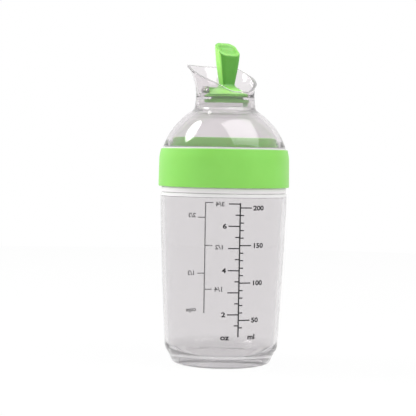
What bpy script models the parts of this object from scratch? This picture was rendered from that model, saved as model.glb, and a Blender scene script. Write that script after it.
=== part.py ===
"""Oil dispenser bottle: a clear cup with a screw-on dome lid, a slanted spout and a tip-up lever valve.

Metres, +Z up. The origin is the bottom centre of the cup. The spout points towards -X.
"""

import math

import bpy
import bmesh
from mathutils import Matrix, Vector

# Clearances
SEAT_GAP = 0.0003          # between two pieces that rest on or fit into each other
RUNNING_GAP = 0.0002       # round the hinge pin, in the lever's barrel
PIN_FIT = 0.00015          # round the hinge pin, in the lugs
EDGE = 0.0003              # chamfer on the small pieces' edges

# Cup
CUP_FOOT_RADIUS = 0.0255   # where the base rounds into the tapered foot
CUP_FOOT_ROUND = 0.003
CUP_BELLY_HEIGHT = 0.0078  # where the foot's taper would meet the wall
CUP_BELLY_RADIUS = 0.0292
CUP_BELLY_ROUND = 0.006    # between the taper and the wall
CUP_SHOULDER_HEIGHT = 0.0883
CUP_SHOULDER_RADIUS = 0.0327
CUP_SHOULDER_ROUND = 0.0007
CUP_WALL_BOW = 1.3         # 1 would be a straight taper
CUP_WALL = 0.0021
CUP_FLOOR = 0.0055
CUP_FLOOR_ROUND = 0.006
CUP_BASE_RECESS = 0.0008
CUP_BASE_RECESS_RADIUS = 0.0185
CUP_NECK_HEIGHT = 0.0187
CUP_NECK_INSET = 0.0034    # of the neck from the shoulder's edge
CUP_RIM_ROUND = 0.0004

# Screw thread, two starts, right-handed
THREAD_STARTS = 2
THREAD_LEAD = 0.008
THREAD_RADIUS = 0.001      # of each rounded ridge
THREAD_PROUD = 0.0011      # how far a ridge's crest stands off its wall
THREAD_SPACE = 0.0017      # between the cup's neck and the lid's skirt
CUP_THREAD_RISE = 0.0073   # first ridge centre above the shoulder
CUP_THREAD_TURN = 252.0    # degrees
LID_THREAD_TURN = 144.0

# Gasket
GASKET_FLANGE = 0.0016
GASKET_FLANGE_MARGIN = 0.0006  # between the flange and the lid's skirt
GASKET_LIP = 0.0012
GASKET_LIP_MARGIN = 0.0006 # between the lip's top edge and the dome
GASKET_LIP_DROP = 0.0025   # below the cup's rim

# Lid: skirt and dome
SKIRT_WALL = 0.0011
SKIRT_LIP = 0.00035        # how far the lip stands off the skirt
SKIRT_LIP_HEIGHT = 0.0023
LEDGE_WIDTH = 0.0024       # the step over the gasket
DOME_FOOT_RISE = 0.001     # from the ledge to the dome's foot
DOME_HEIGHT = 0.02073      # from the dome's foot to the neck's root
DOME_BULGE = 0.035         # radius of the dome's arc in section, through both ends
DOME_WALL = 0.0021

# Lid: neck, spout and shelf
NECK_ROOT_SPREAD = 0.0008  # of the neck's root beyond its waist
NECK_ROOT_BLEND = 0.0008   # height of the small cone between the dome and the neck
NECK_ROOT_DRAW = 0.0002    # how far that cone draws in
NECK_MOUTH_FLARE = 0.0006  # of the neck's bore where it opens into the dome
NECK_HEIGHT = 0.0071       # from the dome to the waist
WAIST_RADIUS = 0.0151
NECK_WALL = 0.0015
SPOUT_FLARE = 0.027        # radius of the flare's arc in section
SPOUT_LIP_HEIGHT = 0.016   # of the pouring edge above the waist
SPOUT_WASTE = 0.0015       # of the full flare above the pouring edge, which the slanting cut takes off
SPOUT_REAR_DROP = 0.002    # how far the slanting cut ends below the waist, well behind the neck
# The slanting cut's rear points, as distances behind the waist's rear edge and above the waist,
# and its front points, as distances along X from the axis and below the pouring edge.
SPOUT_REAR_POINTS = ((0.0030, -0.0014), (-0.0006, 0.0020), (-0.0048, 0.0058), (-0.0120, 0.0092))
SPOUT_FRONT_POINTS = ((-0.0060, 0.0029), (-0.0130, 0.0004), (-0.0180, 0.0))
SHELF_DROP = 0.00105       # of the shelf's top below the waist
SHELF_THICKNESS = 0.0011
SHELF_HOLE_RADIUS = 0.0089
VALVE_OFFSET = 0.0012      # of the valve's axis behind the bottle's axis

# Grip sleeve
SLEEVE_HEIGHT = 0.0195
SLEEVE_WALL = 0.0014
SLEEVE_TOP_DRAW = 0.00105  # how far the top draws in from the bottom's radius
SLEEVE_SIDE_TAPER = 0.0002 # of the long straight side, from bottom to top
SLEEVE_SHOULDER = 0.006    # height over which the top draws in
SLEEVE_ROUND = 0.0005
KEY_COUNT = 6              # small keys on the skirt that turn the sleeve with the lid
KEY_RISE = 0.0023          # above the skirt's lip
KEY_WIDTH = 0.002
KEY_DEPTH = 0.0005
KEY_LENGTH = 0.013

# Seat seal
SEAL_FLANGE = 0.0007       # above the shelf
SEAL_BEAD = 0.0017         # below the shelf
SEAL_BEAD_STEP = 0.0002    # of the bead inside the flange's edge
SEAL_FLANGE_MARGIN = 0.0008
SEAL_THROAT_WALL = 0.0006
SEAT_ANGLE = 35.0          # of the conical seat, from the valve's axis
TAB_WIDTH = 0.0029
TAB_THICKNESS = 0.0011
TAB_INSET = 0.0006         # of its outer face from the bead's edge
TAB_LENGTH = 0.0026
TAB_TURN = 55.0            # degrees round from the rear

# Hinge
PIN_RADIUS = 0.0012
PIN_HALF_LENGTH = 0.0115
PIN_SETBACK = 0.0052       # of the pin in front of the valve's axis
BARREL_RADIUS = 0.0022
BARREL_HALF_LENGTH = 0.0087
LUG_WALL = 0.001
LUG_SLOT = 0.0019          # the pin snaps down through this slot

# Lever
PLATE_THICKNESS = 0.0015
PLATE_RIM_HEIGHT = 0.0027
PLATE_RIM = 0.0014
PLATE_LIFT = 0.0002        # of the plate's underside above the barrel's lowest line
FOOT_LENGTH = 0.0122
FOOT_WIDTH = 0.0148
FOOT_HEIGHT = 0.0031
FOOT_ROUND = 0.0006
STEM_FOOT_LENGTH = 0.0043
STEM_FOOT_WIDTH = 0.0066
STEM_TOP_LENGTH = 0.0073
STEM_TOP_WIDTH = 0.0122
STEM_ROUND = 0.0013
LEVER_HEIGHT = 0.0257      # of the thumb pad's front edge above the pin
PAD_FALL = 0.0072          # of the thumb pad from its front edge to its rear edge
PAD_DISH = 0.0007          # depth of the thumb's dish
PAD_DISH_MARGIN = 0.0014   # of the dish from the pad's edges

# Plug
PLUG_LAND = 0.0011         # height of seat left bare below the plug
STUD_RADIUS = 0.0016
STUD_HEAD_RADIUS = 0.0026
STUD_HEAD = 0.0009
STUD_HEAD_DRAFT = 0.0005   # how far the head tapers to its end
PLUG_PROUD = 0.0001        # of the plug's top above the seat seal's

# How finely round shapes are made
TURN_STEPS = 48
SMALL_STEPS = 24
SHARP_ANGLE = math.radians(32)

# Radii that follow from the sizes above
cup_neck_radius = CUP_SHOULDER_RADIUS - CUP_NECK_INSET
cup_neck_inner_radius = cup_neck_radius - CUP_WALL
skirt_inner_radius = cup_neck_radius + THREAD_SPACE
skirt_radius = skirt_inner_radius + SKIRT_WALL
skirt_lip_radius = skirt_radius + SKIRT_LIP
sleeve_bore = skirt_radius + SEAT_GAP
sleeve_radius = sleeve_bore + SLEEVE_WALL
gasket_flange_radius = skirt_inner_radius - GASKET_FLANGE_MARGIN
gasket_lip_radius = cup_neck_inner_radius - SEAT_GAP
neck_root_radius = WAIST_RADIUS + NECK_ROOT_SPREAD
neck_inner_radius = WAIST_RADIUS - NECK_WALL
seal_radius = neck_inner_radius - VALVE_OFFSET - SEAL_FLANGE_MARGIN
bead_radius = seal_radius - SEAL_BEAD_STEP
throat_radius = SHELF_HOLE_RADIUS - SEAT_GAP
seat_slope = math.tan(math.radians(SEAT_ANGLE))
seat_top_radius = throat_radius - SEAL_THROAT_WALL
plug_clearance = SEAT_GAP / math.cos(math.radians(SEAT_ANGLE))

# Heights that follow from them
rim_z = CUP_SHOULDER_HEIGHT + CUP_NECK_HEIGHT
gasket_z = rim_z + SEAT_GAP
ledge_z = gasket_z + GASKET_FLANGE + SEAT_GAP
skirt_z = CUP_SHOULDER_HEIGHT + SEAT_GAP
skirt_lip_z = skirt_z + SKIRT_LIP_HEIGHT
sleeve_z = skirt_lip_z + SEAT_GAP
key_z = skirt_lip_z + KEY_RISE
sleeve_top_z = sleeve_z + SLEEVE_HEIGHT
dome_foot_z = ledge_z + DOME_FOOT_RISE
neck_root_z = dome_foot_z + DOME_HEIGHT
waist_z = neck_root_z + NECK_HEIGHT
shelf_top_z = waist_z - SHELF_DROP
shelf_bottom_z = shelf_top_z - SHELF_THICKNESS
seal_top_z = shelf_top_z + SEAT_GAP / 2 + SEAL_FLANGE
seal_bottom_z = shelf_bottom_z - SEAT_GAP / 2 - SEAL_BEAD
plug_top_z = seal_top_z + PLUG_PROUD
barrel_bottom_z = plug_top_z + SEAT_GAP
pin_z = barrel_bottom_z + BARREL_RADIUS
plate_z = barrel_bottom_z + PLATE_LIFT
plug_bottom_z = seal_bottom_z + PLUG_LAND

# The dome's arc passes through its foot and the neck's root, with its centre inside and below.
dome_draw = skirt_radius - neck_root_radius
dome_chord = math.hypot(dome_draw, DOME_HEIGHT)
dome_setback = math.sqrt(DOME_BULGE**2 - (dome_chord / 2) ** 2) / dome_chord
dome_centre_x = (skirt_radius + neck_root_radius) / 2 - dome_setback * DOME_HEIGHT
dome_centre_z = dome_foot_z + DOME_HEIGHT / 2 - dome_setback * dome_draw

# Places that follow from them
pin_x = VALVE_OFFSET - PIN_SETBACK
lug_inner_y = BARREL_HALF_LENGTH + SEAT_GAP
lug_half = PIN_RADIUS + PIN_FIT + LUG_WALL
spout_height = SPOUT_LIP_HEIGHT + SPOUT_WASTE

for old in list(bpy.data.objects):
    bpy.data.objects.remove(old, do_unlink=True)

parts = bpy.data.collections.new("oil_dispenser_bottle")
cutters = bpy.data.collections.new("cutters")
bpy.context.scene.collection.children.link(parts)
bpy.context.scene.collection.children.link(cutters)


def make_material(name, colour, roughness, metallic=0.0, transmission=0.0):
    """A Principled BSDF with one even colour."""
    material = bpy.data.materials.new(name)
    material.use_nodes = True
    shader = material.node_tree.nodes["Principled BSDF"]
    shader.inputs["Base Color"].default_value = (*colour, 1.0)
    shader.inputs["Roughness"].default_value = roughness
    shader.inputs["Metallic"].default_value = metallic
    shader.inputs["Transmission Weight"].default_value = transmission
    return material


def arc(centre_x, centre_z, radius, start, end, steps):
    """Points on an arc in the X-Z plane, from one angle to another in degrees."""
    points = []
    for step in range(steps + 1):
        angle = math.radians(start + (end - start) * step / steps)
        points.append((centre_x + radius * math.cos(angle), centre_z + radius * math.sin(angle)))
    return points


def add_object(name, mesh, collection=cutters):
    """Links a new object; one in the cutters' collection stays out of renders."""
    obj = bpy.data.objects.new(name, mesh)
    collection.objects.link(obj)
    if collection is cutters:
        obj.hide_render = True
        obj.display_type = "WIRE"
    return obj


def turned(name, profile, ring=False, steps=TURN_STEPS, collection=cutters):
    """Turns a profile round Z. It runs down the outer side; a ring's profile closes on itself."""
    mesh = bpy.data.meshes.new(name)
    edges = [(i, i + 1) for i in range(len(profile) - 1)]
    if ring:
        edges.append((len(profile) - 1, 0))
    mesh.from_pydata([(x, 0.0, z) for x, z in profile], edges, [])
    obj = add_object(name, mesh, collection)
    screw = obj.modifiers.new("turn", "SCREW")
    screw.axis = "Z"
    screw.steps = steps
    screw.render_steps = steps
    screw.use_merge_vertices = True
    screw.merge_threshold = 0.000001
    return obj


def block(name, low, high, turn=0.0, pivot=(0.0, 0.0), collection=cutters):
    """A box between two corners, turned in degrees round a vertical line through pivot."""
    mesh = bpy.data.meshes.new(name)
    shape = bmesh.new()
    bmesh.ops.create_cube(shape, size=1.0)
    size = [b - a for a, b in zip(low, high)]
    middle = [(a + b) / 2 for a, b in zip(low, high)]
    bmesh.ops.scale(shape, vec=size, verts=shape.verts)
    bmesh.ops.translate(shape, vec=middle, verts=shape.verts)
    bmesh.ops.rotate(
        shape, cent=(*pivot, 0.0), matrix=Matrix.Rotation(math.radians(turn), 3, "Z"), verts=shape.verts
    )
    shape.to_mesh(mesh)
    shape.free()
    return add_object(name, mesh, collection)


def cross_bar(name, radius, half_length, chamfer=0.0, collection=cutters):
    """A cylinder along Y on the hinge's axis, with its origin there."""
    mesh = bpy.data.meshes.new(name)
    shape = bmesh.new()
    bmesh.ops.create_cone(
        shape, cap_ends=True, segments=SMALL_STEPS, radius1=radius, radius2=radius, depth=2 * half_length
    )
    sideways = Matrix.Rotation(math.radians(90), 3, "X")
    bmesh.ops.rotate(shape, cent=(0, 0, 0), matrix=sideways, verts=shape.verts)
    shape.to_mesh(mesh)
    shape.free()
    obj = add_object(name, mesh, collection)
    obj.location = (pin_x, 0.0, pin_z)
    if chamfer:
        bevel = obj.modifiers.new("chamfer", "BEVEL")
        bevel.width = chamfer
        bevel.segments = 2
        bevel.limit_method = "ANGLE"
    return obj


def wedge(name, low, high, low_size, high_size, top_fall=0.0, rounding=0.0):
    """A tapered block between two centres; its top may fall towards +X."""
    mesh = bpy.data.meshes.new(name)
    shape = bmesh.new()
    bmesh.ops.create_cube(shape, size=1.0)
    for vertex in shape.verts:
        centre, size = (high, high_size) if vertex.co.z > 0 else (low, low_size)
        fall = top_fall if vertex.co.z > 0 and vertex.co.x > 0 else 0.0
        vertex.co = (
            centre[0] + vertex.co.x * size[0],
            centre[1] + vertex.co.y * size[1],
            centre[2] - fall,
        )
    shape.to_mesh(mesh)
    shape.free()
    obj = add_object(name, mesh)
    bevel = obj.modifiers.new("round", "BEVEL")
    bevel.width = rounding
    bevel.segments = 3
    return obj


def ridge(name, radius, first_z, first_angle, turn):
    """One rounded thread ridge: a tube along a right-handed helix, as a mesh."""
    curve = bpy.data.curves.new(name, "CURVE")
    curve.dimensions = "3D"
    curve.bevel_depth = THREAD_RADIUS
    curve.bevel_resolution = 2
    curve.use_fill_caps = True
    count = round(turn / 9) + 1
    spline = curve.splines.new("POLY")
    spline.points.add(count - 1)
    for i, point in enumerate(spline.points):
        swept = turn * i / (count - 1)
        angle = math.radians(first_angle + swept)
        height = first_z + THREAD_LEAD * swept / 360
        point.co = (radius * math.cos(angle), radius * math.sin(angle), height, 1.0)
    tube = bpy.data.objects.new(name + "_path", curve)
    cutters.objects.link(tube)
    return meshed(tube, name)


def meshed(curve_object, name):
    """Turns a curve object into a mesh object with its caps welded on."""
    graph = bpy.context.evaluated_depsgraph_get()
    mesh = bpy.data.meshes.new_from_object(curve_object.evaluated_get(graph))
    shape = bmesh.new()
    shape.from_mesh(mesh)
    bmesh.ops.remove_doubles(shape, verts=shape.verts, dist=0.0000001)
    shape.to_mesh(mesh)
    shape.free()
    obj = add_object(name, mesh)
    obj.matrix_world = curve_object.matrix_world
    bpy.data.objects.remove(curve_object)
    return obj


def boolean(target, tool, operation):
    modifier = target.modifiers.new(operation.lower(), "BOOLEAN")
    modifier.operation = operation
    modifier.object = tool
    modifier.solver = "EXACT"


def finish(obj, material):
    """Applies the modifiers, shades the piece smooth between sharp edges and gives its material."""
    graph = bpy.context.evaluated_depsgraph_get()
    mesh = bpy.data.meshes.new_from_object(obj.evaluated_get(graph))
    mesh.shade_smooth()
    mesh.set_sharp_from_angle(angle=SHARP_ANGLE)
    mesh.materials.clear()
    mesh.materials.append(material)
    obj.modifiers.clear()
    obj.data = mesh
    mesh.name = obj.name


def put_origin(obj, point):
    """Moves an unturned object's origin to a point and leaves its shape where it is."""
    shift = Vector(point) - obj.location
    obj.data.transform(Matrix.Translation(-shift))
    obj.location = point


def cup_wall_radius(height):
    """The cup's outer radius between the foot and the shoulder: a taper that bows outwards."""
    share = (height - CUP_BELLY_HEIGHT) / (CUP_SHOULDER_HEIGHT - CUP_BELLY_HEIGHT)
    share = min(max(share, 0.0), 1.0)
    return CUP_BELLY_RADIUS + (CUP_SHOULDER_RADIUS - CUP_BELLY_RADIUS) * (1 - (1 - share) ** CUP_WALL_BOW)


def make_cup():
    shoulder_inside_z = CUP_SHOULDER_HEIGHT - CUP_WALL
    wall_step = (shoulder_inside_z - CUP_BELLY_HEIGHT) / 5
    wall_heights = [CUP_BELLY_HEIGHT + i * wall_step for i in range(6)]
    floor_round_z = CUP_FLOOR + CUP_FLOOR_ROUND
    floor_radius = cup_wall_radius(floor_round_z) - CUP_WALL - CUP_FLOOR_ROUND
    foot_taper = math.atan2(CUP_BELLY_RADIUS - CUP_FOOT_RADIUS, CUP_BELLY_HEIGHT - CUP_FOOT_ROUND)
    foot_centre = CUP_FOOT_RADIUS - CUP_FOOT_ROUND * math.cos(foot_taper)
    wall_taper = math.atan2(cup_wall_radius(wall_heights[1]) - CUP_BELLY_RADIUS, wall_step)
    belly_reach = CUP_BELLY_ROUND * math.tan((foot_taper - wall_taper) / 2)
    belly_z = CUP_BELLY_HEIGHT + belly_reach * math.cos(wall_taper)
    belly_centre = CUP_BELLY_RADIUS + belly_reach * math.sin(wall_taper)
    belly_centre -= CUP_BELLY_ROUND * math.cos(wall_taper)
    belly_centre_z = belly_z + CUP_BELLY_ROUND * math.sin(wall_taper)

    profile = [(0.0, CUP_FLOOR)]
    profile += arc(floor_radius, floor_round_z, CUP_FLOOR_ROUND, -90, 0, 4)
    inner_start_z = floor_round_z + CUP_FLOOR_ROUND / 2
    profile += [(cup_wall_radius(z) - CUP_WALL, z) for z in wall_heights if z > inner_start_z]
    profile.append((cup_neck_inner_radius, CUP_SHOULDER_HEIGHT + CUP_WALL))
    profile += arc(cup_neck_inner_radius + CUP_RIM_ROUND, rim_z - CUP_RIM_ROUND, CUP_RIM_ROUND, 180, 90, 2)
    profile += arc(cup_neck_radius - CUP_RIM_ROUND, rim_z - CUP_RIM_ROUND, CUP_RIM_ROUND, 90, 0, 2)
    profile.append((cup_neck_radius, CUP_SHOULDER_HEIGHT))
    shoulder_centre = CUP_SHOULDER_RADIUS - CUP_SHOULDER_ROUND
    profile += arc(shoulder_centre, CUP_SHOULDER_HEIGHT - CUP_SHOULDER_ROUND, CUP_SHOULDER_ROUND, 90, 0, 3)
    profile += [(cup_wall_radius(z), z) for z in reversed(wall_heights[1:-1])]
    wall_turn = -math.degrees(wall_taper)
    foot_turn = -math.degrees(foot_taper)
    profile += arc(belly_centre, belly_centre_z, CUP_BELLY_ROUND, wall_turn, foot_turn, 3)
    profile += arc(foot_centre, CUP_FOOT_ROUND, CUP_FOOT_ROUND, foot_turn, -90, 3)
    profile.append((CUP_BASE_RECESS_RADIUS + CUP_BASE_RECESS, 0.0))
    profile.append((CUP_BASE_RECESS_RADIUS, CUP_BASE_RECESS))
    profile.append((0.0, CUP_BASE_RECESS))
    cup = turned("cup", profile, collection=parts)

    centre_radius = cup_neck_radius + THREAD_PROUD - THREAD_RADIUS
    for start in range(THREAD_STARTS):
        angle = start * 360 / THREAD_STARTS
        thread_z = CUP_SHOULDER_HEIGHT + CUP_THREAD_RISE
        boolean(cup, ridge(f"cup_thread_{start}", centre_radius, thread_z, angle, CUP_THREAD_TURN), "UNION")
    finish(cup, make_material("cup_clear", (0.86, 0.85, 0.87), 0.06, transmission=0.9))


def make_gasket():
    inner = gasket_lip_radius - GASKET_LIP
    lip_reach = gasket_lip_radius + GASKET_LIP_MARGIN - dome_centre_x
    lip_top = dome_centre_z + math.sqrt((DOME_BULGE - DOME_WALL) ** 2 - lip_reach**2)
    profile = [
        (inner, lip_top - GASKET_LIP / 3),
        (inner + GASKET_LIP / 4, lip_top),
        (gasket_lip_radius - GASKET_LIP / 4, lip_top),
        (gasket_lip_radius, lip_top - GASKET_LIP / 3),
        (gasket_lip_radius, gasket_z + GASKET_FLANGE),
        (gasket_flange_radius, gasket_z + GASKET_FLANGE),
        (gasket_flange_radius, gasket_z),
        (gasket_lip_radius, gasket_z),
        (gasket_lip_radius, rim_z - GASKET_LIP_DROP),
        (inner, rim_z - GASKET_LIP_DROP),
    ]
    gasket = turned("lid_gasket", profile, ring=True, collection=parts)
    finish(gasket, make_material("gasket_silicone", (0.27, 0.60, 0.14), 0.55))


def flare_radius(height, wall=0.0):
    """The neck's outer radius at a height above the waist; a wall thickness takes it inwards."""
    arc_radius = SPOUT_FLARE + wall
    return WAIST_RADIUS - wall + arc_radius - math.sqrt(arc_radius**2 - height**2)


def dome_point(angle, wall=0.0):
    radians = math.radians(angle)
    radius = DOME_BULGE - wall
    return (dome_centre_x + radius * math.cos(radians), dome_centre_z + radius * math.sin(radians))


def dome_angle_at(x, wall=0.0):
    """The angle at which the dome's arc stands at a distance from the axis."""
    return math.degrees(math.acos((x - dome_centre_x) / (DOME_BULGE - wall)))


def make_spout_cutter():
    """Everything above the spout's slanting edge, as a flat outline in X-Z given depth along Y."""
    lip_z = waist_z + SPOUT_LIP_HEIGHT
    reach = 2 * WAIST_RADIUS
    edge = [(reach, waist_z - SPOUT_REAR_DROP)]
    edge += [(WAIST_RADIUS + behind, waist_z + above) for behind, above in SPOUT_REAR_POINTS]
    edge += [(x, lip_z - below) for x, below in SPOUT_FRONT_POINTS]
    edge.append((-reach, lip_z))
    top = lip_z + spout_height
    curve = bpy.data.curves.new("spout_edge", "CURVE")
    curve.dimensions = "2D"
    curve.fill_mode = "BOTH"
    curve.extrude = reach
    curve.resolution_u = 4
    spline = curve.splines.new("BEZIER")
    outline = edge + [(-reach, top), (reach, top)]
    spline.bezier_points.add(len(outline) - 1)
    spline.use_cyclic_u = True
    for i, (point, (x, z)) in enumerate(zip(spline.bezier_points, outline)):
        point.co = (x, z, 0.0)
        kind = "AUTO" if 0 < i < len(edge) - 1 else "VECTOR"
        point.handle_left_type = kind
        point.handle_right_type = kind
    outline_object = bpy.data.objects.new("spout_edge_path", curve)
    cutters.objects.link(outline_object)
    outline_object.rotation_euler = (math.radians(90), 0.0, 0.0)
    bpy.context.view_layer.update()
    return meshed(outline_object, "spout_cutter")


def make_dome_lid():
    flare_steps = 6
    heights = [spout_height * i / flare_steps for i in range(flare_steps + 1)]
    inner_start = dome_angle_at(neck_inner_radius + NECK_MOUTH_FLARE, DOME_WALL)
    inner_end = dome_angle_at(skirt_inner_radius - LEDGE_WIDTH, DOME_WALL)
    outer_start = dome_angle_at(neck_root_radius)
    outer_end = dome_angle_at(skirt_radius)
    dome_steps = 8

    profile = [(0.0, shelf_top_z), (neck_inner_radius, shelf_top_z)]
    profile += [(flare_radius(h, NECK_WALL), waist_z + h) for h in heights]
    profile += [(flare_radius(h), waist_z + h) for h in reversed(heights)]
    profile.append((neck_root_radius - NECK_ROOT_DRAW, neck_root_z + NECK_ROOT_BLEND))
    for i in range(dome_steps + 1):
        profile.append(dome_point(outer_start + (outer_end - outer_start) * i / dome_steps))
    profile += [
        (skirt_radius, skirt_lip_z),
        (skirt_lip_radius, skirt_lip_z),
        (skirt_lip_radius, skirt_z + EDGE),
        (skirt_lip_radius - EDGE, skirt_z),
        (skirt_inner_radius, skirt_z),
        (skirt_inner_radius, ledge_z),
        (skirt_inner_radius - LEDGE_WIDTH, ledge_z),
    ]
    for i in range(dome_steps + 1):
        profile.append(dome_point(inner_end + (inner_start - inner_end) * i / dome_steps, DOME_WALL))
    profile += [(neck_inner_radius, shelf_bottom_z), (0.0, shelf_bottom_z)]
    lid = turned("dome_lid", profile, collection=parts)

    thread_z = CUP_SHOULDER_HEIGHT + CUP_THREAD_RISE - THREAD_LEAD / THREAD_STARTS / 2
    centre_radius = skirt_inner_radius - THREAD_PROUD + THREAD_RADIUS
    for start in range(THREAD_STARTS):
        angle = start * 360 / THREAD_STARTS
        boolean(lid, ridge(f"lid_thread_{start}", centre_radius, thread_z, angle, LID_THREAD_TURN), "UNION")

    for i in range(KEY_COUNT):
        turn = i * 360 / KEY_COUNT
        low = (skirt_radius - SKIRT_WALL / 2, -KEY_WIDTH / 2, key_z)
        high = (skirt_radius + KEY_DEPTH, KEY_WIDTH / 2, key_z + KEY_LENGTH)
        boolean(lid, block(f"key_{i}", low, high, turn), "UNION")

    # The lugs end inside the neck's wall, whose middle this core follows.
    middle = NECK_WALL / 2
    core_height = pin_z + 2 * lug_half - waist_z
    core_heights = [core_height * (1 - i / 4) for i in range(5)]
    core_profile = [(0.0, waist_z + core_height)]
    core_profile += [(flare_radius(h, middle), waist_z + h) for h in core_heights]
    core_profile += [(WAIST_RADIUS - middle, shelf_top_z), (0.0, shelf_top_z)]
    core = turned("neck_core", core_profile)
    for side, name in ((-1, "lug_left"), (1, "lug_right")):
        ends = sorted((side * lug_inner_y, side * WAIST_RADIUS))
        low = (pin_x - lug_half, ends[0], seal_top_z + SEAT_GAP)
        high = (pin_x + lug_half, ends[1], pin_z + lug_half)
        lug = block(name, low, high)
        boolean(lug, core, "INTERSECT")
        boolean(lid, lug, "UNION")
    pocket_half = PIN_HALF_LENGTH + SEAT_GAP
    boolean(lid, cross_bar("pin_pocket", PIN_RADIUS + PIN_FIT, pocket_half), "DIFFERENCE")
    slot_low = (pin_x - LUG_SLOT / 2, -pocket_half, pin_z)
    slot_high = (pin_x + LUG_SLOT / 2, pocket_half, pin_z + 2 * lug_half)
    boolean(lid, block("pin_slot", slot_low, slot_high), "DIFFERENCE")

    hole_profile = [
        (0.0, shelf_top_z + SHELF_THICKNESS),
        (SHELF_HOLE_RADIUS, shelf_top_z + SHELF_THICKNESS),
        (SHELF_HOLE_RADIUS, shelf_bottom_z - SHELF_THICKNESS),
        (0.0, shelf_bottom_z - SHELF_THICKNESS),
    ]
    hole = turned("shelf_hole", hole_profile)
    hole.location.x = VALVE_OFFSET
    boolean(lid, hole, "DIFFERENCE")
    boolean(lid, make_spout_cutter(), "DIFFERENCE")
    finish(lid, make_material("dome_clear", (0.86, 0.85, 0.87), 0.06, transmission=0.9))


def make_grip_sleeve():
    side_top_radius = sleeve_radius - SLEEVE_SIDE_TAPER
    top_radius = sleeve_radius - SLEEVE_TOP_DRAW
    shoulder_steps = 4
    profile = [(sleeve_bore, sleeve_top_z)]
    profile += arc(top_radius - SLEEVE_ROUND, sleeve_top_z - SLEEVE_ROUND, SLEEVE_ROUND, 90, 20, 2)
    for i in range(1, shoulder_steps + 1):
        share = i / shoulder_steps
        radius = side_top_radius - (side_top_radius - top_radius) * (1 - share) ** 2
        profile.append((radius, sleeve_top_z - SLEEVE_ROUND - (SLEEVE_SHOULDER - SLEEVE_ROUND) * share))
    profile += arc(sleeve_radius - SLEEVE_ROUND, sleeve_z + SLEEVE_ROUND, SLEEVE_ROUND, 0, -90, 2)
    profile.append((sleeve_bore, sleeve_z))
    sleeve = turned("grip_sleeve", profile, ring=True, collection=parts)
    for i in range(KEY_COUNT):
        turn = i * 360 / KEY_COUNT
        half = KEY_WIDTH / 2 + SEAT_GAP
        low = (sleeve_bore - KEY_DEPTH, -half, key_z - SEAT_GAP)
        high = (skirt_radius + KEY_DEPTH + SEAT_GAP, half, key_z + KEY_LENGTH + SEAT_GAP)
        boolean(sleeve, block(f"key_groove_{i}", low, high, turn), "DIFFERENCE")
    finish(sleeve, make_material("sleeve_green", (0.27, 0.63, 0.12), 0.45))


def make_seat_seal():
    flange_z = shelf_top_z + SEAT_GAP / 2
    bead_z = shelf_bottom_z - SEAT_GAP / 2
    profile = [
        (seat_top_radius, seal_top_z),
        (seal_radius - EDGE, seal_top_z),
        (seal_radius, seal_top_z - EDGE),
        (seal_radius, flange_z),
        (throat_radius, flange_z),
        (throat_radius, bead_z),
        (bead_radius, bead_z),
        (bead_radius, seal_bottom_z + EDGE),
        (bead_radius - EDGE, seal_bottom_z),
        (seat_top_radius - seat_slope * (seal_top_z - seal_bottom_z), seal_bottom_z),
    ]
    seal = turned("seat_seal", profile, ring=True, collection=parts)
    seal.location.x = VALVE_OFFSET
    tab_x = VALVE_OFFSET + bead_radius - TAB_INSET
    low = (tab_x - TAB_THICKNESS, -TAB_WIDTH / 2, seal_bottom_z - TAB_LENGTH)
    high = (tab_x, TAB_WIDTH / 2, seal_bottom_z + SEAL_BEAD / 2)
    boolean(seal, block("pull_tab", low, high, TAB_TURN, (VALVE_OFFSET, 0.0)), "UNION")
    finish(seal, make_material("seal_silicone", (0.30, 0.62, 0.16), 0.5))


def make_hinge_pin():
    pin = cross_bar("hinge_pin", PIN_RADIUS, PIN_HALF_LENGTH, chamfer=EDGE, collection=parts)
    finish(pin, make_material("pin_steel", (0.35, 0.34, 0.33), 0.3, metallic=1.0))


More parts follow.
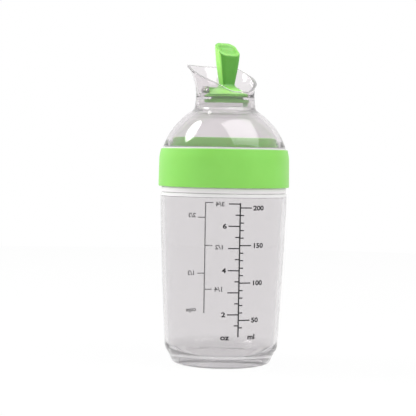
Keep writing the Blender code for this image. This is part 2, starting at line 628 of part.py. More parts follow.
def make_lever():
    rim_z_top = plate_z + PLATE_RIM_HEIGHT
    plate_top = plate_z + PLATE_THICKNESS
    profile = [
        (0.0, plate_top),
        (seal_radius - PLATE_RIM, plate_top),
        (seal_radius - PLATE_RIM + EDGE, rim_z_top),
        (seal_radius - EDGE, rim_z_top),
        (seal_radius, rim_z_top - EDGE),
        (seal_radius, plate_z + EDGE),
        (seal_radius - EDGE, plate_z),
        (0.0, plate_z),
    ]
    lever = turned("lever", profile, collection=parts)
    lever.location.x = VALVE_OFFSET

    # In front of the pin there is no plate, and beside the barrel it leaves room for the lugs,
    # whose upper corners its own corners pass as the lever tips.
    reach = 2 * seal_radius
    below = plate_z - PLATE_RIM_HEIGHT
    above = rim_z_top + PLATE_RIM_HEIGHT
    front_x = pin_x + BARREL_RADIUS / 4
    front = block("plate_front", (pin_x - reach, -reach, below), (front_x, reach, above))
    boolean(lever, front, "DIFFERENCE")
    notch_x = pin_x + math.hypot(lug_half, lug_half) + SEAT_GAP
    for side, name in ((-1, "lug_notch_left"), (1, "lug_notch_right")):
        ends = sorted((side * (BARREL_HALF_LENGTH - 2 * EDGE), side * reach))
        notch = block(name, (pin_x - reach, ends[0], below), (notch_x, ends[1], above))
        boolean(lever, notch, "DIFFERENCE")
    boolean(lever, cross_bar("barrel", BARREL_RADIUS, BARREL_HALF_LENGTH, chamfer=EDGE), "UNION")

    stem_foot_z = plate_top + FOOT_HEIGHT
    foot = wedge(
        "stem_foot",
        (VALVE_OFFSET, 0.0, plate_z + PLATE_THICKNESS / 2),
        (VALVE_OFFSET, 0.0, stem_foot_z),
        (FOOT_LENGTH, FOOT_WIDTH),
        (STEM_FOOT_LENGTH + EDGE, STEM_FOOT_WIDTH + EDGE),
        rounding=FOOT_ROUND,
    )
    stem = wedge(
        "stem",
        (VALVE_OFFSET, 0.0, plate_top + FOOT_HEIGHT / 2),
        (VALVE_OFFSET, 0.0, pin_z + LEVER_HEIGHT),
        (STEM_FOOT_LENGTH, STEM_FOOT_WIDTH),
        (STEM_TOP_LENGTH, STEM_TOP_WIDTH),
        top_fall=PAD_FALL,
        rounding=STEM_ROUND,
    )
    boolean(lever, foot, "UNION")
    boolean(lever, stem, "UNION")

    stud_profile = [
        (0.0, plate_z + PLATE_THICKNESS / 2),
        (STUD_RADIUS, plate_z + PLATE_THICKNESS / 2),
        (STUD_RADIUS, plug_bottom_z - SEAT_GAP),
        (STUD_HEAD_RADIUS, plug_bottom_z - SEAT_GAP),
        (STUD_HEAD_RADIUS - STUD_HEAD_DRAFT, plug_bottom_z - SEAT_GAP - STUD_HEAD),
        (0.0, plug_bottom_z - SEAT_GAP - STUD_HEAD),
    ]
    stud = turned("stud", stud_profile, steps=SMALL_STEPS)
    stud.location.x = VALVE_OFFSET
    boolean(lever, stud, "UNION")
    bore = cross_bar("barrel_bore", PIN_RADIUS + RUNNING_GAP, BARREL_HALF_LENGTH + BARREL_RADIUS)
    boolean(lever, bore, "DIFFERENCE")

    # The thumb's dish is a shallow oval in the slanting pad.
    pad_tilt = math.atan2(PAD_FALL, STEM_TOP_LENGTH)
    ball = bmesh.new()
    bmesh.ops.create_uvsphere(ball, u_segments=24, v_segments=12, radius=1.0)
    half_along = math.hypot(PAD_FALL, STEM_TOP_LENGTH) / 2 - PAD_DISH_MARGIN
    half_across = STEM_TOP_WIDTH / 2 - PAD_DISH_MARGIN
    bmesh.ops.scale(ball, vec=(half_along, half_across, PAD_DISH), verts=ball.verts)
    bmesh.ops.rotate(ball, cent=(0, 0, 0), matrix=Matrix.Rotation(pad_tilt, 3, "Y"), verts=ball.verts)
    dish_mesh = bpy.data.meshes.new("dish")
    ball.to_mesh(dish_mesh)
    ball.free()
    dish = add_object("dish", dish_mesh)
    dish.location = (VALVE_OFFSET, 0.0, pin_z + LEVER_HEIGHT - PAD_FALL / 2)
    boolean(lever, dish, "DIFFERENCE")
    finish(lever, make_material("lever_green", (0.30, 0.68, 0.14), 0.35))
    put_origin(lever, (pin_x, 0.0, pin_z))


def make_plug_seal():
    top_radius = seat_top_radius + seat_slope * (plug_top_z - seal_top_z) - plug_clearance
    bottom_radius = top_radius - seat_slope * (plug_top_z - plug_bottom_z)
    bore = STUD_RADIUS + SEAT_GAP
    profile = [
        (bore, plug_top_z),
        (top_radius, plug_top_z),
        (bottom_radius, plug_bottom_z),
        (bore, plug_bottom_z),
    ]
    plug = turned("plug_seal", profile, ring=True, collection=parts)
    plug.location.x = VALVE_OFFSET
    finish(plug, make_material("plug_silicone", (0.32, 0.66, 0.18), 0.5))
    put_origin(plug, (pin_x, 0.0, pin_z))


make_cup()
make_gasket()
make_dome_lid()
make_grip_sleeve()
make_seat_seal()
make_hinge_pin()
make_lever()
make_plug_seal()
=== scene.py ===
# Oil dispenser bottle. Metres, +Z up; the origin is under the cup and the spout points towards -X.
# Sizes and places in the sections below are in millimetres, and MM turns them into metres.

import math

import bmesh
import bpy
from mathutils import Matrix, Vector


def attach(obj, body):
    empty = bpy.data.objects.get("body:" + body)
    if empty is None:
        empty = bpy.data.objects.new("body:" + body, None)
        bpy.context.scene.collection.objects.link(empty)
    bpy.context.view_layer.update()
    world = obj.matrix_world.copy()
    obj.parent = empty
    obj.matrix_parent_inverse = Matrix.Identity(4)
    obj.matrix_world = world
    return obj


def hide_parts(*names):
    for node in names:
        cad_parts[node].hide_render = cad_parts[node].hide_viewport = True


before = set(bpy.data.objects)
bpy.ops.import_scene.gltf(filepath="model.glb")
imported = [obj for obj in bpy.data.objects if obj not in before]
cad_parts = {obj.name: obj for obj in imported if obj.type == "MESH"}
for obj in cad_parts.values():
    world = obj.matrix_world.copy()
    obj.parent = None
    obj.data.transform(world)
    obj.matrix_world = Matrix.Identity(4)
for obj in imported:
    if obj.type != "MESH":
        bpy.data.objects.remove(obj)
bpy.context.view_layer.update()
bpy.ops.object.select_all(action="DESELECT")

# ---------------------------------------------------------------------------------------------
# Cup: clear styrene-acrylonitrile, injection moulded in one piece and lathed from its section.
# Its thick base rounds into a wall that bows outwards a little, and a square shoulder carries the
# thinner neck with its two-start thread.

MM = 0.001
RECESS_Z = 0.8
FLOOR_Z = 5.5
FLOOR_ROUND = 6.0
FOOT_RADIUS = 25.5
FOOT_ROUND = 3.0
BELLY_Z = 7.8
BELLY_RADIUS = 29.2
BELLY_ROUND = 6.0
WALL_BOW = 1.3
WALL_TAPER = math.radians(3.14)
CUP_WALL = 2.1
SHOULDER_Z = 88.3
SHOULDER_RADIUS = 32.7
SHOULDER_ROUND = 0.7
CUP_NECK_RADIUS = 29.3
CUP_NECK_BORE = 27.2
RIM_Z = 107.0
RIM_ROUND = 0.4
THREAD_LEAD = 8.0
RIDGE_RADIUS = 1.0
RIDGE_SIDES = 12
RIDGE_STEP = 4  # degrees between two rings of a ridge


def clamp(value):
    return min(max(value, 0.0), 1.0)


def bend(centre_x, centre_z, radius, start, end, steps=8):
    """Points on an arc in the X-Z plane, between two angles in degrees."""
    turn = [math.radians(start + (end - start) * i / steps) for i in range(steps + 1)]
    return [(centre_x + radius * math.cos(a), centre_z + radius * math.sin(a)) for a in turn]


def cup_radius(z):
    """The outside radius of the cup's wall at a height."""
    share = clamp((z - BELLY_Z) / (SHOULDER_Z - BELLY_Z))
    return BELLY_RADIUS + (SHOULDER_RADIUS - BELLY_RADIUS) * (1 - (1 - share) ** WALL_BOW)


def select_only(piece):
    bpy.ops.object.select_all(action="DESELECT")
    piece.select_set(True)
    bpy.context.view_layer.objects.active = piece


def turn_outwards():
    """In edit mode, turns all faces of the mesh outwards and goes back to object mode."""
    bpy.ops.mesh.select_all(action="SELECT")
    bpy.ops.mesh.normals_make_consistent(inside=False)
    bpy.ops.object.mode_set(mode="OBJECT")


def lathe(name, outline, steps=160, centre_x=0.0):
    """Spins a closed outline round a vertical line, and closes its poles."""
    bpy.ops.object.select_all(action="DESELECT")
    bpy.ops.mesh.primitive_circle_add(vertices=len(outline), radius=0.01)
    piece = bpy.context.object
    piece.name = name
    for vertex, (x, z) in zip(piece.data.vertices, outline):
        vertex.co = (x * MM, 0.0, z * MM)
    bpy.ops.object.mode_set(mode="EDIT")
    bpy.ops.mesh.select_all(action="SELECT")
    bpy.ops.mesh.spin(steps=steps, angle=2 * math.pi, center=(0, 0, 0), axis=(0, 0, 1))
    bpy.ops.mesh.select_all(action="SELECT")
    bpy.ops.mesh.remove_doubles(threshold=0.002 * MM)
    bpy.ops.mesh.delete_loose(use_verts=True, use_edges=True, use_faces=False)
    turn_outwards()
    piece.data.transform(Matrix.Translation((centre_x * MM, 0, 0)))
    return piece


def apply_all(piece):
    """Applies a piece's modifiers in their order."""
    select_only(piece)
    for modifier in list(piece.modifiers):
        bpy.ops.object.modifier_apply(modifier=modifier.name)


def cut_or_join(piece, tool, operation):
    """Joins a second solid to a piece, or cuts it out of it, and takes the second one away."""
    modifier = piece.modifiers.new("with_" + tool.name, "BOOLEAN")
    modifier.operation = operation
    modifier.solver = "EXACT"
    modifier.object = tool
    apply_all(piece)
    bpy.data.objects.remove(tool)


def thread_ridge(name, radius, first_z, start, turn):
    """One rounded ridge of the right-handed thread, from its first height and direction on through
    its turn, both in degrees. It fades into its wall at both ends."""
    bpy.ops.object.select_all(action="DESELECT")
    bpy.ops.mesh.primitive_circle_add(
        vertices=RIDGE_SIDES, radius=RIDGE_RADIUS * MM,
        location=(radius * MM, 0, first_z * MM), rotation=(math.pi / 2, 0, 0),
    )
    ridge = bpy.context.object
    ridge.name = name
    bpy.ops.object.transform_apply(location=True, rotation=True, scale=True)
    rings = round(turn / RIDGE_STEP)
    screw = ridge.modifiers.new("helix", "SCREW")
    screw.angle = math.radians(turn)
    screw.screw_offset = THREAD_LEAD * MM * turn / 360
    screw.steps = screw.render_steps = rings
    apply_all(ridge)
    for index, vertex in enumerate(ridge.data.vertices):
        ring = index // RIDGE_SIDES
        swept = math.radians(turn * ring / rings)
        rise = THREAD_LEAD * swept / (2 * math.pi)
        middle = Vector((radius * math.cos(swept), radius * math.sin(swept), first_z + rise)) * MM
        fade = min(1.0, 0.25 + 0.15 * min(ring, rings - ring))
        vertex.co = middle + (vertex.co - middle) * fade
    bpy.ops.object.mode_set(mode="EDIT")
    bpy.ops.mesh.select_all(action="SELECT")
    bpy.ops.mesh.fill_holes(sides=0)
    turn_outwards()
    ridge.data.transform(Matrix.Rotation(math.radians(start), 4, "Z"))
    return ridge


def smooth(piece, angle=32):
    """Shades a piece smooth up to an edge angle in degrees."""
    select_only(piece)
    bpy.ops.object.shade_smooth_by_angle(angle=math.radians(angle))


def rgb(code):
    """A hex sRGB colour as the linear values that Blender's sockets take."""
    parts = [int(code[i:i + 2], 16) / 255 for i in (1, 3, 5)]
    return tuple(c / 12.92 if c <= 0.04045 else ((c + 0.055) / 1.055) ** 2.4 for c in parts) + (1.0,)


def new_material(name):
    material = bpy.data.materials.new(name)
    material.use_nodes = True
    return material, material.node_tree.nodes["Principled BSDF"]


def paint(piece, material):
    """Gives a piece this material in place of any other."""
    piece.data.materials.clear()
    piece.data.materials.append(material)


def add_node(material, kind, inputs=None, **settings):
    """Adds a node with its settings; an input is given a value or another node's output."""
    node = material.node_tree.nodes.new(kind)
    for key, value in settings.items():
        setattr(node, key, value)
    for socket, value in (inputs or {}).items():
        if isinstance(value, bpy.types.NodeSocket):
            material.node_tree.links.new(value, node.inputs[socket])
        else:
            node.inputs[socket].default_value = value
    return node


def feed(node, socket, output):
    """Links an output to an input of a node that is there already."""
    node.id_data.links.new(output, node.inputs[socket])


def compute(material, operation, *values):
    """A math node on values or outputs, as its output."""
    return add_node(material, "ShaderNodeMath", dict(enumerate(values)), operation=operation).outputs[0]


def spread(material, value, low, high, start=0.0, end=1.0):
    """Maps an output that runs from start to end to a clamped range, as the range's output."""
    ends = {"From Min": start, "From Max": end, "To Min": low, "To Max": high}
    return add_node(material, "ShaderNodeMapRange", {"Value": value, **ends}).outputs["Result"]


def noise(material, place, scale, detail):
    """Noise whose scale is in waves per metre, as its output: 1000 makes patches of about 1 mm."""
    inputs = {"Vector": place, "Scale": scale, "Detail": detail}
    return add_node(material, "ShaderNodeTexNoise", inputs).outputs["Fac"]


def object_place(material):
    return add_node(material, "ShaderNodeTexCoord").outputs["Object"]


def relief(material, shader, texture, height):
    """Lets a texture raise the shaded surface by up to a height in metres."""
    bump = add_node(material, "ShaderNodeBump", {"Height": texture, "Distance": height})
    feed(shader, "Normal", bump.outputs["Normal"])


def clear_plastic(name, tint, roughness, wave, density):
    """Clear moulded styrene-acrylonitrile: it greys a little where it is thick, the steel mould
    leaves slow, faint waves this many metres long, and handling leaves fine scuffs of about 1 mm
    that show as a little roughness. The lid's lip and the cup's shoulder are frosted, and so is the
    line round the dome's foot where the sleeve's mould shuts off. The cup's base is frosted a
    little, and so are the places that a mesh's own frost values name."""
    material, shader = new_material(name)
    shader.inputs["Base Color"].default_value = rgb(tint)
    shader.inputs["IOR"].default_value = 1.54
    place = object_place(material)
    height = add_node(material, "ShaderNodeSeparateXYZ", {"Vector": place}).outputs["Z"]
    lip = compute(material, "COMPARE", height, 0.0890, 0.0025)
    shut_off = compute(material, "COMPARE", height, 0.11095, 0.0004)
    base = spread(material, height, 0.0, 0.2, 0.011, 0.006)
    named = add_node(material, "ShaderNodeAttribute", attribute_name="frost").outputs["Fac"]
    bands = compute(material, "MAXIMUM", lip, shut_off)
    lower = compute(material, "MAXIMUM", bands, base)
    frost = compute(material, "MAXIMUM", lower, named)
    feed(shader, "Transmission Weight", spread(material, frost, 0.97, 0.12))
    scuffs = noise(material, place, 900.0, 3.0)
    feed(shader, "Roughness", spread(material, scuffs, roughness * 0.6, roughness * 1.6, 0.3, 0.75))
    relief(material, shader, noise(material, place, 1 / wave, 0.0), 0.00004)
    absorption = {"Color": (0.47, 0.45, 0.48, 1), "Density": density}
    grey = add_node(material, "ShaderNodeVolumeAbsorption", absorption)
    feed(material.node_tree.nodes["Material Output"], "Volume", grey.outputs["Volume"])
    return material


foot_taper = math.atan2(BELLY_RADIUS - FOOT_RADIUS, BELLY_Z - FOOT_ROUND)
belly_reach = BELLY_ROUND * math.tan((foot_taper - WALL_TAPER) / 2)
belly_z = BELLY_Z + belly_reach * math.cos(WALL_TAPER) + BELLY_ROUND * math.sin(WALL_TAPER)
belly_x = BELLY_RADIUS + belly_reach * math.sin(WALL_TAPER) - BELLY_ROUND * math.cos(WALL_TAPER)
wall_heights = [12.0 + (SHOULDER_Z - 14.0) * i / 14 for i in range(15)]

# The section's inside from the floor's middle up to the rim, then its outside back down.
floor_bend_z = FLOOR_Z + FLOOR_ROUND
outline = [(0.0, FLOOR_Z), (8.0, FLOOR_Z), (16.0, FLOOR_Z)]
outline += bend(cup_radius(floor_bend_z) - CUP_WALL - FLOOR_ROUND, floor_bend_z, FLOOR_ROUND, -90, 0, 12)
outline += [(cup_radius(z) - CUP_WALL, z) for z in wall_heights[1:]]
outline += [(28.6, 88.2), (27.6, 89.6)]
outline += bend(CUP_NECK_BORE + 0.8, 91.2, 0.8, 205, 180, 3)
outline += bend(CUP_NECK_BORE + RIM_ROUND, RIM_Z - RIM_ROUND, RIM_ROUND, 180, 90, 4)
outline += bend(CUP_NECK_RADIUS - RIM_ROUND, RIM_Z - RIM_ROUND, RIM_ROUND, 90, 0, 4)
outline += bend(CUP_NECK_RADIUS + 0.4, SHOULDER_Z + 0.4, 0.4, 180, 270, 4)
outline += bend(SHOULDER_RADIUS - SHOULDER_ROUND, SHOULDER_Z - SHOULDER_ROUND, SHOULDER_ROUND, 90, 0, 6)
outline += [(cup_radius(z), z) for z in reversed(wall_heights)]
outline += bend(belly_x, belly_z, BELLY_ROUND, -math.degrees(WALL_TAPER), -math.degrees(foot_taper), 10)
foot_x = FOOT_RADIUS - FOOT_ROUND * math.cos(foot_taper)
outline += bend(foot_x, FOOT_ROUND, FOOT_ROUND, -math.degrees(foot_taper), -90, 8)
outline += [(19.6, 0.0), (19.2, 0.1), (18.7, 0.7), (18.3, RECESS_Z), (9.0, RECESS_Z), (0.0, RECESS_Z)]
cup = lathe("cup_shell", outline)
for start in (0, 180):
    cut_or_join(cup, thread_ridge("cup_thread", 29.4, SHOULDER_Z + 7.3, start, 252), "UNION")
smooth(cup)
paint(cup, clear_plastic("clear_styrene_cup", "#edebec", 0.03, 0.014, 12.0))
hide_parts("cup")
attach(cup, "cup")

# ---------------------------------------------------------------------------------------------
# Volume scales: black ink, screen printed on the outside of the cup, ounces and millilitres on
# the front and cups on the back. Flat bars and letters are wrapped round the wall as a thin film.

INK_OFFSET = 0.05  # of the film's middle from the wall
INK_FILM = 0.03
FRONT = math.radians(-35.0)
BAR_HEIGHT = 0.58
LETTER_WIDTH = 4.1
LETTER_HEIGHT = 3.3
LETTER_MIDDLE = 0.345  # of a figure's height, as a share of the letter size
FRONT_LINE = 8.53
BACK_LINE = 10.25
ML_50_Z = 25.3
ML_RISE = 0.3747
OZ_2_Z = 28.13
OZ_RISE = 11.06


def bar(across, z, width, height=BAR_HEIGHT):
    """A flat printed line with its middle at a place on the unrolled wall."""
    bpy.ops.object.select_all(action="DESELECT")
    bpy.ops.mesh.primitive_grid_add(x_subdivisions=6, y_subdivisions=24, size=1.0)
    line = bpy.context.object
    for vertex in line.data.vertices:
        vertex.co = (across + vertex.co.x * width, z + vertex.co.y * height, 0.0)
    return line


def label(words, across, z, align="CENTER", size=1.0):
    """Printed figures or a unit in bold, wide letters, centred on a height."""
    bpy.ops.object.select_all(action="DESELECT")
    bpy.ops.object.text_add()
    text = bpy.context.object
    text.data.body = words
    text.data.align_x = align
    text.data.offset = 0.036
    text.data.resolution_u = 3
    bpy.ops.object.convert(target="MESH")
    mark = bpy.context.object
    for vertex in mark.data.vertices:
        rise = (vertex.co.y - LETTER_MIDDLE) * LETTER_HEIGHT * size
        vertex.co = (across + vertex.co.x * LETTER_WIDTH * size, z + rise, 0.0)
    return mark


def print_on_cup(name, marks, middle):
    """Joins the marks, wraps them round the wall and gives the film its thickness."""
    bpy.ops.object.select_all(action="DESELECT")
    for mark in marks:
        mark.select_set(True)
    bpy.context.view_layer.objects.active = marks[0]
    bpy.ops.object.join()
    scale = bpy.context.object
    scale.name = name
    for vertex in scale.data.vertices:
        across, z, _ = vertex.co
        angle = middle + across / cup_radius(z)
        radius = cup_radius(z) + INK_OFFSET
        vertex.co = (radius * math.cos(angle) * MM, radius * math.sin(angle) * MM, z * MM)
    bpy.ops.object.mode_set(mode="EDIT")
    bpy.ops.mesh.select_all(action="SELECT")
    bpy.ops.mesh.remove_doubles(threshold=0.001 * MM)
    turn_outwards()
    film = scale.modifiers.new("film", "SOLIDIFY")
    film.thickness = INK_FILM * MM
    film.offset = 0.0
    apply_all(scale)
    return scale


marks = [bar(FRONT_LINE, 50.4, 0.72, 67.0)]
for ml in range(40, 201, 10):
    reach = 6.1 if ml % 50 == 0 else 2.0
    z = ML_50_Z + (ml - 50) * ML_RISE
    marks.append(bar(FRONT_LINE + reach / 2, z, reach))
    if ml % 50 == 0:
        marks.append(label(str(ml), 15.5, z, "LEFT"))
for half_ounces in range(3, 15):
    z = OZ_2_Z + (half_ounces / 2 - 2) * OZ_RISE
    reach = 5.8 if half_ounces % 2 == 0 else 2.3
    marks.append(bar(FRONT_LINE - reach / 2, z, reach))
    if half_ounces in (4, 8, 12):
        marks.append(label(str(half_ounces // 2), 1.9, z, "RIGHT"))
marks.append(label("oz", 3.9, 16.7, "RIGHT", 1.1))
marks.append(label("ml", 13.6, 16.9, "LEFT", 1.05))
front_scale = print_on_cup("scale_ounces_millilitres", marks, FRONT)

# Each mark of the cups' scale: its words, its height, its side and how far its words are lifted.
cup_marks = (
    ("3/4", 82.0, -1, -0.8), ("2/3", 74.0, 1, 1.2), ("1/2", 58.75, -1, -0.9),
    ("1/3", 43.8, 1, 0.4), ("1/4", 35.1, -1, 0),
)
marks = [bar(BACK_LINE, 52.2, 0.7, 60.0)]
for words, z, side, lift in cup_marks:
    marks.append(bar(BACK_LINE + side * 2.2, z, 4.4))
    marks.append(label(words, BACK_LINE + side * 8.5, z + lift))
marks.append(label("cups", 18.7, 24.7, size=0.95))
back_scale = print_on_cup("scale_cups", marks, FRONT + math.pi)


def mix_colours(material, factor, first, second):
    """Two colours, each a hex code or an output, mixed by a factor, as the mix's output."""
    mix = add_node(material, "ShaderNodeMix", {"Factor": factor}, data_type="RGBA")
    for socket, colour in ((6, first), (7, second)):
        if isinstance(colour, str):
            mix.inputs[socket].default_value = rgb(colour)
        else:
            feed(mix, socket, colour)
    return mix.outputs[2]


# Screen-printing ink: a dense black film with a dull sheen, a little thin in places.
ink, shader = new_material("black_screen_ink")
shader.inputs["IOR"].default_value = 1.5
thin = noise(ink, object_place(ink), 1400.0, 2.0)
feed(shader, "Base Color", mix_colours(ink, thin, "#0b0b0d", "#1a191c"))
feed(shader, "Roughness", spread(ink, thin, 0.35, 0.6))
for scale in (front_scale, back_scale):
    paint(scale, ink)
    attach(scale, "cup")

# ---------------------------------------------------------------------------------------------
# Lid gasket: a moulded green silicone ring, lathed from its section. Its flange lies on the cup's
# rim under the lid, its lip stands up inside the dome as a band, and a short skirt centres it in
# the cup's neck.

GASKET_Z = 107.3
SKIRT_FOOT_Z = 104.9
outline = bend(26.3, 115.4, 0.6, 180, 0, 8) + [(26.9, 112.5)]
outline += bend(27.3, GASKET_Z + 2.0, 0.4, 180, 270, 4) + bend(30.1, GASKET_Z + 1.3, 0.3, 90, 0, 4)
outline += bend(30.1, GASKET_Z + 0.3, 0.3, 0, -90, 4) + [(27.0, GASKET_Z), (26.9, GASKET_Z - 0.1)]
outline += bend(26.5, SKIRT_FOOT_Z, 0.4, 0, -90, 4) + bend(26.1, SKIRT_FOOT_Z, 0.4, -90, -180, 4)
gasket = lathe("gasket_ring", outline)


def silicone(name, colour, deep):
    """Moulded silicone rubber: a soft satin skin over a body that light enters a little way, with a
    mould-spark texture of about 0.2 mm and slow changes of colour where the body is thicker."""
    material, shader = new_material(name)
    shader.inputs["IOR"].default_value = 1.41
    shader.inputs["Subsurface Weight"].default_value = 0.15
    shader.inputs["Subsurface Scale"].default_value = 0.0015
    place = object_place(material)
    cloud = noise(material, place, 140.0, 2.0)
    feed(shader, "Base Color", mix_colours(material, cloud, deep, colour))
    grain = noise(material, place, 5000.0, 2.0)
    feed(shader, "Roughness", spread(material, grain, 0.42, 0.62))
    relief(material, shader, grain, 0.00002)
    return material


smooth(gasket)
paint(gasket, silicone("green_silicone_gasket", "#aefb80", "#a0f070"))
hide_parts("lid_gasket")
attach(gasket, "gasket")

# ---------------------------------------------------------------------------------------------
# Dome lid: clear styrene-acrylonitrile, one moulding of threaded skirt, dome, neck and flared
# spout, lathed and then pulled down to the spout's slanting edge. A shelf crosses the neck, and
# two lugs on small webs hold the hinge pin.

SKIRT_Z = 88.42
SKIRT_RADIUS = 32.1
SKIRT_BORE = 31.0
LEDGE_Z = 109.2
DOME_CENTRE_X = -1.56
DOME_CENTRE_Z = 100.608
DOME_RADIUS = 35.0
DOME_BORE = 32.9
WAIST_Z = 138.042
WAIST_RADIUS = 15.1
NECK_BORE = 13.6
SHELF_TOP = 136.992
SHELF_BOTTOM = 135.892
SHELF_CORNER = 0.08
FLARE_RADIUS = 27.0
FLARE_BORE = 28.5
SPOUT_FULL = 17.5
LIP_ROUND = 0.35
LIP_FROST = 0.47
NECK_FOOT_FROST = 0.24
VALVE_X = 1.2
PIN_X = -4.0
PIN_Z = 140.442
# The slanting edge: distance along X from the axis, and height above the neck's waist.
SPOUT_EDGE = [
    (-31, 16.4), (-18, 16.4), (-13, 15.8), (-6, 13.1), (3.1, 9.2), (10.3, 5.8), (14.5, 2.0), (18.1, -1.4),
]


def flare_out(height):
    """The spout's outside radius at a height above the waist."""
    return WAIST_RADIUS + FLARE_RADIUS - math.sqrt(FLARE_RADIUS**2 - height**2)


def flare_in(height):
    """The spout's inside radius, which thins its wall towards the lip."""
    thinned = 0.55 * (max(height, 0.0) / SPOUT_FULL) ** 0.7
    return NECK_BORE + FLARE_BORE - math.sqrt(FLARE_BORE**2 - height**2) + thinned


def edge_height(x):
    """The slanting edge's height at a place along X, on a smooth curve through its points."""
    points = SPOUT_EDGE
    i = max(1, min(len(points) - 3, sum(1 for p in points if p[0] < x) - 1))
    (x0, y0), (x1, y1), (x2, y2), (x3, y3) = points[i - 1:i + 3]
    t = clamp((x - x1) / (x2 - x1))
    m1 = (y2 - y0) / (x2 - x0) * (x2 - x1)
    m2 = (y3 - y1) / (x3 - x1) * (x2 - x1)
    a, b = 2 * t**3 - 3 * t**2 + 1, t**3 - 2 * t**2 + t
    return a * y1 + b * m1 + (1 - a) * y2 + (t**3 - t**2) * m2


def spout_height(angle):
    """How high the flare stands above the waist in one direction round the neck."""
    low, high = 0.5, SPOUT_FULL
    for _ in range(30):
        middle = (low + high) / 2
        if middle < edge_height(flare_out(middle) * math.cos(angle)):
            low = middle
        else:
            high = middle
    return low


def dome_arc(radius, from_x, to_x, steps):
    """Points on one of the dome's two arcs between two distances from the axis."""
    ends = [math.degrees(math.acos((x - DOME_CENTRE_X) / radius)) for x in (from_x, to_x)]
    return bend(DOME_CENTRE_X, DOME_CENTRE_Z, radius, ends[0], ends[1], steps)


# The section from the shelf's top up the flare, over its lip and down the outside to the skirt's
# foot, then back up inside the skirt and the dome to the shelf's underside.
straight = SPOUT_FULL - LIP_ROUND
rise = [SPOUT_FULL * i / 22 for i in range(23)]
lip_in = flare_in(SPOUT_FULL)
lip_out = flare_out(SPOUT_FULL)
corner_x = NECK_BORE - SHELF_CORNER
outline = [(0.0, SHELF_TOP), (13.2, SHELF_TOP)]
outline += bend(corner_x, SHELF_TOP + SHELF_CORNER, SHELF_CORNER, -90, 0, 2)
outline += [(flare_in(h), WAIST_Z + h) for h in rise[:-1] if h < straight]
outline += bend(lip_in + LIP_ROUND, WAIST_Z + straight, LIP_ROUND, 180, 90, 4)
outline += bend(lip_out - LIP_ROUND, WAIST_Z + straight, LIP_ROUND, 90, 0, 4)
outline += [(flare_out(h), WAIST_Z + h) for h in reversed(rise) if h < straight]
outline += [(15.25, 136.2), (15.45, 134.1), (15.68, 132.4), (15.95, 131.5), (16.5, 130.75)]
outline += dome_arc(DOME_RADIUS, 17.2, SKIRT_RADIUS, 26)
outline += [(SKIRT_RADIUS, 108.0), (SKIRT_RADIUS, 100.0), (SKIRT_RADIUS, 91.2)]
outline += bend(32.15, 90.6, 0.3, 90, 0, 3) + bend(32.3, SKIRT_Z + 0.15, 0.15, 0, -90, 3)
outline += [(31.3, SKIRT_Z), (SKIRT_BORE, SKIRT_Z + 0.3), (SKIRT_BORE, 98.0), (SKIRT_BORE, LEDGE_Z - 0.2)]
outline += [(30.8, LEDGE_Z), (28.9, LEDGE_Z), (28.7, LEDGE_Z + 0.15)]
outline += dome_arc(DOME_BORE, 28.6, 14.6, 24)
outline += [(13.95, 129.9), (13.75, 130.8), (NECK_BORE, 133.0), (NECK_BORE, SHELF_BOTTOM - 0.1)]
outline += bend(corner_x, SHELF_BOTTOM - SHELF_CORNER, SHELF_CORNER, 0, 90, 2) + [(0.0, SHELF_BOTTOM)]
lid = lathe("dome_lid_shell", outline, 176)

# The flare is pulled down to the slanting edge, direction by direction, and its lip stays round.
for vertex in lid.data.vertices:
    height = vertex.co.z / MM - WAIST_Z
    if height <= 0:
        continue
    angle = math.atan2(vertex.co.y, vertex.co.x)
    top = spout_height(angle)
    new = height * (top - LIP_ROUND) / straight if height <= straight else top - SPOUT_FULL + height
    middle = (flare_out(height) + flare_in(height)) / 2
    radius = math.hypot(vertex.co.x, vertex.co.y) / MM - middle + (flare_out(new) + flare_in(new)) / 2
    vertex.co = (radius * math.cos(angle) * MM, radius * math.sin(angle) * MM, (WAIST_Z + new) * MM)

for start in (0, 180):
    cut_or_join(lid, thread_ridge("lid_thread", 30.9, SHOULDER_Z + 3.3, start, 144), "UNION")


def box(name, low, high, soften=0.0):
    """A block between two corners, with its edges softened."""
    bpy.ops.object.select_all(action="DESELECT")
    bpy.ops.mesh.primitive_cube_add(size=1.0)
    block = bpy.context.object
    block.name = name
    for vertex in block.data.vertices:
        vertex.co = [(a + b) / 2 * MM + c * (b - a) * MM for a, b, c in zip(low, high, vertex.co)]
    if soften:
        bevel = block.modifiers.new("soft", "BEVEL")
        bevel.width = soften * MM
        bevel.segments = 3
        apply_all(block)
    return block


def rod(name, radius, half_length, segments=48):
    """A round bar along Y on the hinge's axis."""
    bpy.ops.object.select_all(action="DESELECT")
    bpy.ops.mesh.primitive_cylinder_add(
        vertices=segments, radius=radius * MM, depth=2 * half_length * MM,
        location=(PIN_X * MM, 0, PIN_Z * MM), rotation=(math.pi / 2, 0, 0),
    )
    round_bar = bpy.context.object
    round_bar.name = name
    bpy.ops.object.transform_apply(location=True, rotation=True, scale=True)
    return round_bar


# Each lug is an upright wall on a web, cut off inside the neck's wall so that it merges with it.
LUG_REACH = 2.35
POCKET_HALF = 11.8
core_heights = [7.0 - i for i in range(8)]
core_outline = [(0.0, WAIST_Z + 7.0)]
core_outline += [((flare_out(h) + flare_in(h)) / 2, WAIST_Z + h) for h in core_heights]
core_outline += [(14.35, SHELF_TOP), (0.0, SHELF_TOP)]
for side in (-1, 1):
    upright, web = sorted((side * 9.0, side * 10.2)), sorted((side * 9.4, side * 15.6))
    lug_top = (PIN_X + LUG_REACH, upright[1], PIN_Z + LUG_REACH)
    lug = box("lug", (PIN_X - LUG_REACH, upright[0], 138.142), lug_top, 0.35)
    cut_or_join(lug, box("lug_web", (PIN_X - 2.2, web[0], 138.2), (PIN_X + 2.2, web[1], 139.0)), "UNION")
    cut_or_join(lug, lathe("neck_core", core_outline, 96), "INTERSECT")
    cut_or_join(lid, lug, "UNION")
